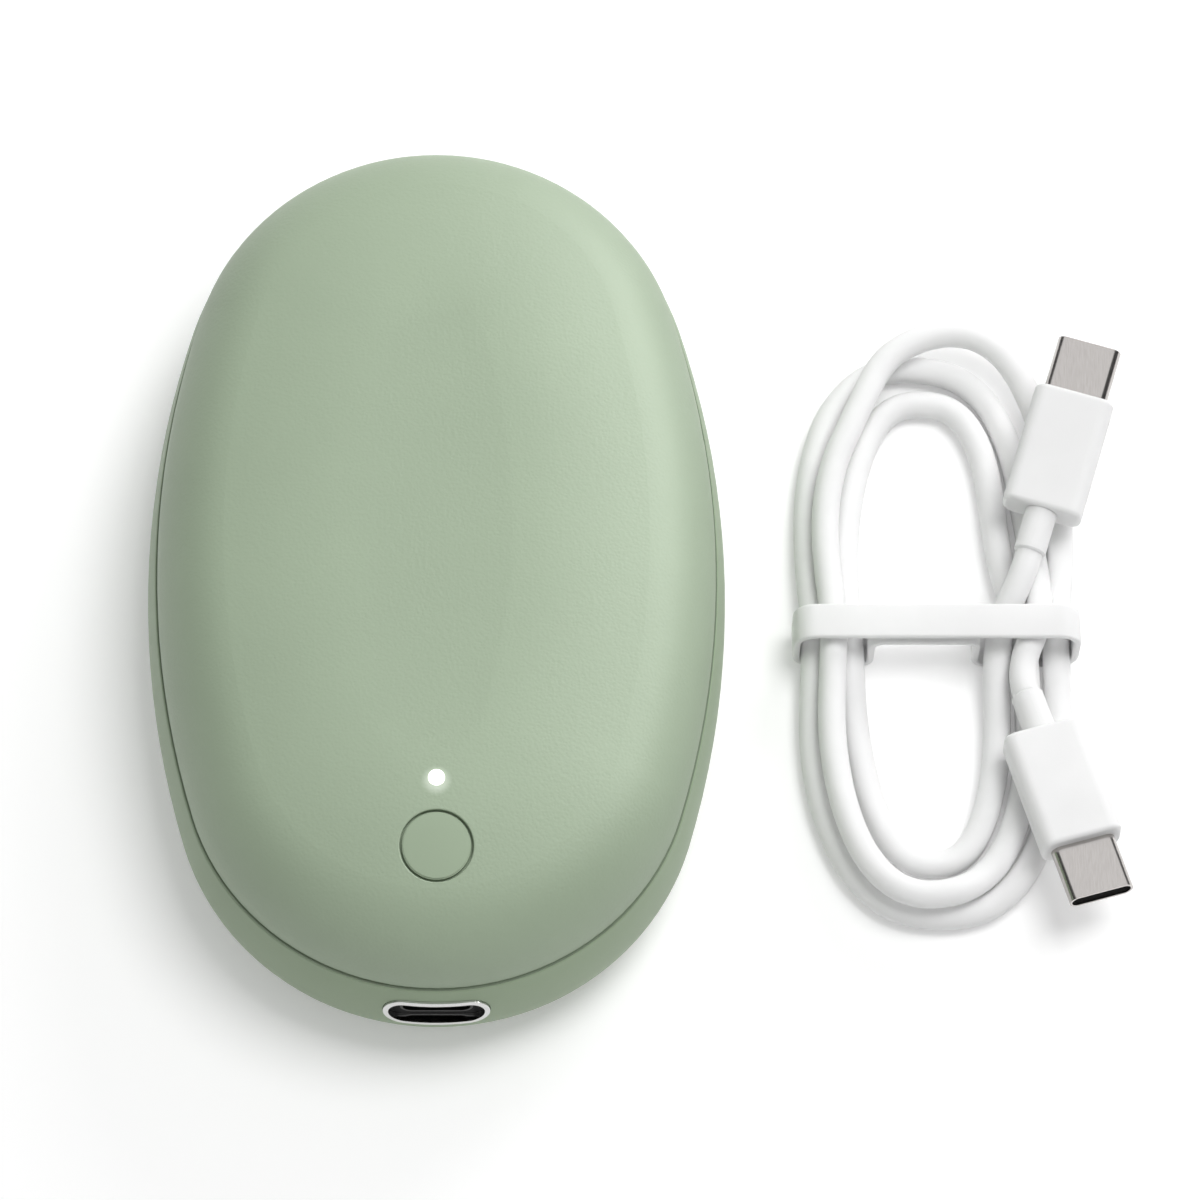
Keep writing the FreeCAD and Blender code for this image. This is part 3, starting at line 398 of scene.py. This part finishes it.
def new_material(name, colour, roughness, metallic=0.0):
    material = bpy.data.materials.new(name)
    material.use_nodes = True
    shader = material.node_tree.nodes["Principled BSDF"]
    shader.inputs["Base Color"].default_value = (*colour, 1)
    shader.inputs["Roughness"].default_value = roughness
    shader.inputs["Metallic"].default_value = metallic
    return material, shader


def object_point(material):
    """Point on the object, in metres."""
    return material.node_tree.nodes.new("ShaderNodeTexCoord").outputs["Object"]


def noise(material, point, size, detail=2.0):
    """Noise with grains of one size, in metres."""
    node = material.node_tree.nodes.new("ShaderNodeTexNoise")
    node.inputs["Scale"].default_value = 1 / size
    node.inputs["Detail"].default_value = detail
    material.node_tree.links.new(point, node.inputs["Vector"])
    return node.outputs["Fac"]


def pebbles(material, point, size):
    """Rounded cells of one size, in metres, as in fine leather."""
    node = material.node_tree.nodes.new("ShaderNodeTexVoronoi")
    node.feature = "SMOOTH_F1"
    node.inputs["Scale"].default_value = 1 / size
    node.inputs["Smoothness"].default_value = pebble_smoothness
    material.node_tree.links.new(point, node.inputs["Vector"])
    return node.outputs["Distance"]


def combined(material, operation, first, second):
    """Two values, or a value and a number, put together."""
    node = material.node_tree.nodes.new("ShaderNodeMath")
    node.operation = operation
    for socket, value in zip(node.inputs, (first, second)):
        if isinstance(value, (int, float)):
            socket.default_value = value
        else:
            material.node_tree.links.new(value, socket)
    return node.outputs[0]


def shade(colour, factor):
    return tuple(channel * factor for channel in colour)


def vary_colour(material, shader, value, dark, light):
    """Base colour that runs from dark to light with a value."""
    ramp = material.node_tree.nodes.new("ShaderNodeValToRGB")
    ramp.color_ramp.elements[0].color = (*dark, 1)
    ramp.color_ramp.elements[1].color = (*light, 1)
    ramp.color_ramp.elements[0].position = noise_low
    ramp.color_ramp.elements[1].position = noise_high
    material.node_tree.links.new(value, ramp.inputs["Fac"])
    material.node_tree.links.new(ramp.outputs["Color"], shader.inputs["Base Color"])


def vary_shade(material, shader, value, colour, spread):
    """Base colour that runs from a little darker to a little lighter with a value."""
    vary_colour(material, shader, value, shade(colour, 1 - spread), shade(colour, 1 + spread))


def vary_roughness(material, shader, value, low, high):
    """Roughness that runs from low to high with a value."""
    node = material.node_tree.nodes.new("ShaderNodeMapRange")
    node.inputs["To Min"].default_value = low
    node.inputs["To Max"].default_value = high
    material.node_tree.links.new(value, node.inputs["Value"])
    material.node_tree.links.new(node.outputs["Result"], shader.inputs["Roughness"])


def add_bump(material, shader, height, depth, strength=1.0):
    """Bump of a depth in metres."""
    node = material.node_tree.nodes.new("ShaderNodeBump")
    node.inputs["Strength"].default_value = strength
    node.inputs["Distance"].default_value = depth
    material.node_tree.links.new(height, node.inputs["Height"])
    material.node_tree.links.new(node.outputs["Normal"], shader.inputs["Normal"])


def soften(shader, share, depth):
    """Let light sink in and spread, as milky plastic does."""
    shader.inputs["Subsurface Weight"].default_value = share
    shader.inputs["Subsurface Radius"].default_value = (1, 1, 1)
    shader.inputs["Subsurface Scale"].default_value = depth


def add_glow(material, shader, point, place):
    """Light that spreads over a surface round a place."""
    nodes, links = material.node_tree.nodes, material.node_tree.links
    apart = nodes.new("ShaderNodeVectorMath")
    apart.operation = "DISTANCE"
    apart.inputs[1].default_value = place
    links.new(point, apart.inputs[0])
    fade = nodes.new("ShaderNodeMapRange")
    fade.interpolation_type = "SMOOTHSTEP"
    fade.inputs["From Min"].default_value = glow_full
    fade.inputs["From Max"].default_value = glow_none
    fade.inputs["To Min"].default_value = glow_strength
    fade.inputs["To Max"].default_value = 0
    links.new(apart.outputs["Value"], fade.inputs["Value"])
    shader.inputs["Emission Color"].default_value = (*pure_white, 1)
    links.new(fade.outputs["Result"], shader.inputs["Emission Strength"])


# Materials

def grained_cover():
    """Soft-touch plastic with a fine leather grain, faint cloudy patches and the light's glow."""
    material, shader = new_material("cover_soft_touch", sage, cover_roughness)
    shader.inputs["Specular IOR Level"].default_value = cover_sheen
    point = object_point(material)
    low, high = (Vector(corner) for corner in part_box("light_pipe"))
    light_place = Vector(((low.x + high.x) / 2, (low.y + high.y) / 2 - glow_shift, high.z))
    add_glow(material, shader, point, light_place)
    patches = noise(material, point, cover_patch, cover_patch_detail)
    vary_shade(material, shader, patches, sage, cover_patch_spread)
    cells = pebbles(material, point, cover_pebble)
    wrinkles = noise(material, point, cover_wrinkle, cover_wrinkle_detail)
    grain = combined(material, "ADD", cells, combined(material, "MULTIPLY", wrinkles, cover_wrinkle_share))
    add_bump(material, shader, grain, cover_bump, cover_bump_strength)
    vary_roughness(material, shader, wrinkles, cover_roughness - cover_roughness_spread,
                   cover_roughness + cover_roughness_spread)
    return material


def smooth_plastic(name, colour, roughness, sheen=plain_sheen, milkiness=0):
    """Moulded plastic with a very fine spark texture."""
    material, shader = new_material(name, colour, roughness)
    shader.inputs["Specular IOR Level"].default_value = sheen
    soften(shader, milkiness, milky_depth)
    point = object_point(material)
    patches = noise(material, point, plastic_patch, plastic_patch_detail)
    vary_shade(material, shader, patches, colour, plastic_patch_spread)
    sparks = noise(material, point, plastic_spark)
    add_bump(material, shader, sparks, plastic_bump, plastic_bump_strength)
    vary_roughness(material, shader, sparks, roughness - plastic_roughness_spread,
                   roughness + plastic_roughness_spread)
    return material


def drawn_metal(name, colour, roughness, squeeze):
    """Metal with fine drawn lines."""
    material, shader = new_material(name, colour, roughness, metallic=1.0)
    mapping = material.node_tree.nodes.new("ShaderNodeMapping")
    mapping.inputs["Scale"].default_value = squeeze
    material.node_tree.links.new(object_point(material), mapping.inputs["Vector"])
    lines = noise(material, mapping.outputs["Vector"], metal_line, metal_line_detail)
    vary_roughness(material, shader, lines, roughness - metal_smoother, roughness + metal_rougher)
    vary_colour(material, shader, lines, shade(colour, metal_darker), shade(colour, metal_lighter))
    add_bump(material, shader, lines, metal_bump, metal_bump_strength)
    return material


def lit_plastic():
    """Clear light pipe, lit from below."""
    material, shader = new_material("light_lit", pipe_light, pipe_roughness)
    cloud = noise(material, object_point(material), pipe_cloud)
    vary_colour(material, shader, cloud, pipe_dark, pipe_light)
    shader.inputs["Emission Color"].default_value = (*pipe_glow, 1)
    shader.inputs["Emission Strength"].default_value = pipe_strength
    return material


def circuit_board():
    """Green solder mask with lighter copper lanes."""
    material, shader = new_material("board_mask", mask_light, mask_roughness)
    lanes = material.node_tree.nodes.new("ShaderNodeTexBrick")
    lanes.inputs["Scale"].default_value = 1 / lane_pitch
    lanes.inputs["Color1"].default_value = (*mask_dark, 1)
    lanes.inputs["Color2"].default_value = (*mask_light, 1)
    lanes.inputs["Mortar"].default_value = (*mask_lane, 1)
    material.node_tree.links.new(object_point(material), lanes.inputs["Vector"])
    material.node_tree.links.new(lanes.outputs["Color"], shader.inputs["Base Color"])
    add_bump(material, shader, lanes.outputs["Fac"], lane_bump, lane_bump_strength)
    return material


def jacket(name, colour, milkiness=0):
    """Satin cord jacket, faintly uneven along its length."""
    material, shader = new_material(name, colour, jacket_roughness)
    shader.inputs["Specular IOR Level"].default_value = jacket_sheen
    soften(shader, milkiness, jacket_depth)
    point = object_point(material)
    vary_shade(material, shader, noise(material, point, jacket_patch), colour, jacket_patch_spread)
    pores = noise(material, point, jacket_pore)
    vary_roughness(material, shader, pores, jacket_roughness - jacket_roughness_spread,
                   jacket_roughness + jacket_roughness_spread)
    add_bump(material, shader, pores, jacket_bump, jacket_bump_strength)
    return material


def foam():
    """Grey foam with open pores."""
    material, shader = new_material("foam_pores", foam_light, foam_roughness)
    pores = pebbles(material, object_point(material), foam_pore)
    vary_colour(material, shader, pores, foam_dark, foam_light)
    add_bump(material, shader, pores, foam_bump)
    return material


def node_materials():
    """Each node's finish."""
    cover = grained_cover()
    base = smooth_plastic("base_plastic", sage_base, roughness=0.48)
    button = smooth_plastic("button_plastic", sage, roughness=0.46)
    moulded_black = smooth_plastic("moulded_black", black, roughness=0.6, sheen=black_sheen)
    moulded_ivory = smooth_plastic("moulded_ivory", ivory, roughness=0.5)
    plug = smooth_plastic("plug_plastic", white, roughness=0.4, sheen=white_sheen,
                          milkiness=white_milkiness)
    film = smooth_plastic("heater_film", film_amber, roughness=0.3)
    sleeve = smooth_plastic("cell_sleeve", sleeve_blue, roughness=0.3)
    rubber = smooth_plastic("seal_rubber", rubber_black, roughness=0.7)
    # The gasket's dark sage is painted shade of the parting groove
    gasket = smooth_plastic("gasket_rubber", sage_painted_seam_shade, roughness=0.75)
    sensor = smooth_plastic("sensor_bead", sensor_brown, roughness=0.3)
    led = smooth_plastic("led_potting", led_yellow, roughness=0.25)
    ribbon = smooth_plastic("ribbon_film", ribbon_grey, roughness=0.4)
    chrome = drawn_metal("bezel_chrome", chrome_grey, roughness=0.1, squeeze=no_lines)
    # The socket's steel is darkened to paint the shade inside the port
    socket = drawn_metal("socket_steel", socket_painted_shade_grey, roughness=0.35, squeeze=lines_along_y)
    steel = drawn_metal("drawn_steel", steel_grey, roughness=0.3, squeeze=lines_along_y)
    nickel = drawn_metal("plug_nickel", nickel_grey, roughness=0.2, squeeze=lines_along_y)
    gold = drawn_metal("contact_gold", gold_yellow, roughness=0.25, squeeze=lines_along_y)
    aluminium = drawn_metal("heater_aluminium", aluminium_grey, roughness=0.35, squeeze=lines_along_x)
    board = circuit_board()
    wire = jacket("wire_jacket", wire_red)
    return {
        "top_cover": cover, "base_shell": base, "power_button": button, "light_pipe": lit_plastic(),
        "seal_ring": rubber, "parting_gasket": gasket, "inner_frame": moulded_black,
        "usb_bezel": chrome, "port_insert": moulded_black, "usb_tongue": moulded_black,
        "usb_shell": socket, "usb_contacts": gold,
        "main_board": board, "button_board": board, "board_components": moulded_black,
        "tact_switch": moulded_black, "switch_plunger": moulded_ivory, "ribbon_sockets": moulded_ivory,
        "button_ribbon": ribbon, "status_led": led, "thermistor": sensor,
        "board_screws": steel, "frame_screws": steel, "button_board_screws": steel,
        "battery_cell_left": sleeve, "battery_cell_right": sleeve,
        "link_strip_front": nickel, "link_strip_rear": nickel,
        "heater_plate_top": aluminium, "heater_plate_base": aluminium,
        "heater_film_top": film, "heater_film_base": film, "foam_pad": foam(),
        "battery_leads": wire, "heater_leads_top": wire, "heater_leads_base": wire,
        "plug_a_grip": plug, "plug_b_grip": plug, "plug_a_collar": plug, "plug_b_collar": plug,
        "plug_a_shell": nickel, "plug_b_shell": nickel,
        "plug_a_insert": moulded_black, "plug_b_insert": moulded_black,
    }


def dress_nodes():
    for name, material in node_materials().items():
        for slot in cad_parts[name].material_slots:
            slot.material = material


# Charging lead

def station_slopes(column):
    """Slopes of one column of the stations, level at each high and low, so that none overshoots."""
    steps = []
    for before, after in zip(hank_stations, hank_stations[1:]):
        steps.append((after[column] - before[column]) / (after[turn_column] - before[turn_column]))
    slopes = [0]
    for before, after in zip(steps, steps[1:]):
        level = before * after <= 0
        slopes.append(0 if level else 2 * before * after / (before + after))
    return slopes + [0]


column_slopes = {column: station_slopes(column) for column in (outward_column, layer_column)}


def between_stations(turn, column):
    """Value of one column at a turn, on a smooth curve through the stations."""
    index = 0
    while index < len(hank_stations) - 2 and turn > hank_stations[index + 1][turn_column]:
        index += 1
    before, after = hank_stations[index], hank_stations[index + 1]
    width = after[turn_column] - before[turn_column]
    share = (turn - before[turn_column]) / width
    slopes = column_slopes[column]
    blend = share * share * (3 - 2 * share)
    start_pull = share * (1 - share) ** 2 * slopes[index] * width
    end_pull = share * share * (share - 1) * slopes[index + 1] * width
    return before[column] + (after[column] - before[column]) * blend + start_pull + end_pull


def hank_point(turn):
    """Point of the hank's loops: a flattened oval, drawn in and lifted at its tied waist."""
    outward = between_stations(turn, outward_column) * mm
    across = math.cos(2 * math.pi * turn)
    along = math.sin(2 * math.pi * turn)
    swell = (abs(across) ** hank_power + abs(along) ** hank_power) ** (-1 / hank_power)
    y = -(hank_half_length + outward) * along * swell
    waist = math.exp(-((hank_middle.y + y - tie_middle) / waist_span) ** 2)
    x = (hank_half_width + outward) * across * swell - math.copysign(waist_draw * waist, across)
    z = low_layer + layer_rise * between_stations(turn, layer_column) + waist_lift * waist
    return hank_middle + Vector((x, y, z))


def plug_direction(heading):
    """Direction of a plug, up and on towards its tip."""
    level = math.cos(plug_pitch)
    return Vector((math.sin(heading) * level, math.cos(heading) * level, math.sin(plug_pitch)))


def lead_points():
    """Route of the lead from plug a, round the hank, to plug b."""
    leave_a = -plug_direction(plug_a_heading)
    enter_b = plug_direction(plug_b_heading)
    count = hank_loops * hank_steps_per_loop
    loops = [hank_point(index / hank_steps_per_loop) for index in range(count + 1)]
    return ([plug_a_end, plug_a_end + leave_a * lead_diameter] + loops
            + [plug_b_end - enter_b * lead_diameter, plug_b_end])


def add_lead():
    points = lead_points()
    curve = bpy.data.curves.new("lead", "CURVE")
    curve.dimensions = "3D"
    curve.bevel_depth = lead_diameter / 2
    curve.bevel_resolution = lead_round_steps
    curve.resolution_u = lead_curve_steps
    spline = curve.splines.new("NURBS")
    spline.points.add(len(points) - 1)
    for target, point in zip(spline.points, points):
        target.co = (*point, 1)
    spline.order_u = 3
    spline.use_endpoint_u = True
    curve.materials.append(jacket("lead_jacket", white_jacket, jacket_milkiness))
    lead = bpy.data.objects.new("lead", curve)
    bpy.context.collection.objects.link(lead)
    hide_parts("charging_lead")
    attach(lead, "case")
    return lead


# Tie band

def rounded_line(corners):
    """Points and headings of a closed line in X and Z, each corner rounded by its own bend radius."""
    line = []
    for index, (x, z, bend) in enumerate(corners):
        before, after = corners[index - 1], corners[(index + 1) % len(corners)]
        here = Vector((x, 0, z))
        arrive = (here - Vector((before[0], 0, before[1]))).normalized()
        leave = (Vector((after[0], 0, after[1])) - here).normalized()
        turn = arrive.angle(leave)
        axis = arrive.cross(leave).normalized()
        start = here - arrive * bend * math.tan(turn / 2)
        centre = start + axis.cross(arrive) * bend
        for step in range(tie_bend_steps + 1):
            rotation = Matrix.Rotation(turn * step / tie_bend_steps, 3, axis)
            line.append((centre + rotation @ (start - centre), rotation @ arrive))
    return line


def tie_corners(low, high):
    """Corners of the band's middle line round the hank, pinched together between the two bundles."""
    half = tie_thickness / 2
    outer_bend = tie_corner - half
    left, right = low.x + half, high.x - half
    bottom, top = low.z + half, high.z - half
    pinch = top - tie_pinch_gap
    left_wall, right_wall = low.x + tie_left_loop, high.x - tie_right_loop
    return (
        (left, bottom, outer_bend),
        (left_wall, bottom, tie_pinch_bend),
        (left_wall, pinch, tie_pinch_bend),
        (right_wall, pinch, tie_pinch_bend),
        (right_wall, bottom, tie_pinch_bend),
        (right, bottom, outer_bend),
        (right, top, outer_bend),
        (left, top, outer_bend),
    )


def band_section(width):
    """Rounded section of the band: steps along its width and through its thickness."""
    half_width = width / 2 - tie_edge
    half_thickness = tie_thickness / 2 - tie_edge
    section = []
    for quarter, (side, up) in enumerate(((1, 1), (-1, 1), (-1, -1), (1, -1))):
        for index in range(tie_edge_steps + 1):
            angle = math.pi / 2 * (quarter + index / tie_edge_steps)
            section.append((side * half_width + tie_edge * math.cos(angle),
                            up * half_thickness + tie_edge * math.sin(angle)))
    return section


def add_tie():
    low, high = (Vector(corner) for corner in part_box("cable_tie"))
    section = band_section(high.y - low.y)
    path = rounded_line(tie_corners(low, high))
    vertices = []
    for point, heading in path:
        outward = Vector((0, 1, 0)).cross(heading)
        for across, through in section:
            vertices.append(point + outward * through + Vector((0, tie_middle + across, 0)))
    count = len(section)
    faces = []
    for ring in range(len(path)):
        following = (ring + 1) % len(path)
        for index in range(count):
            neighbour = (index + 1) % count
            faces.append((ring * count + index, following * count + index,
                          following * count + neighbour, ring * count + neighbour))
    mesh = bpy.data.meshes.new("tie_band")
    mesh.from_pydata(vertices, [], faces)
    mesh.shade_smooth()
    mesh.materials.append(smooth_plastic("tie_plastic", white, roughness=0.45, sheen=white_sheen,
                                         milkiness=white_milkiness))
    tie = bpy.data.objects.new("tie_band", mesh)
    bpy.context.collection.objects.link(tie)
    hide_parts("cable_tie")
    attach(tie, "case")
    return tie


add_camera()
set_world()
add_lights()
add_floor()
dress_nodes()
lead = add_lead()
tie = add_tie()

bpy.context.scene.view_settings.view_transform = "Standard"
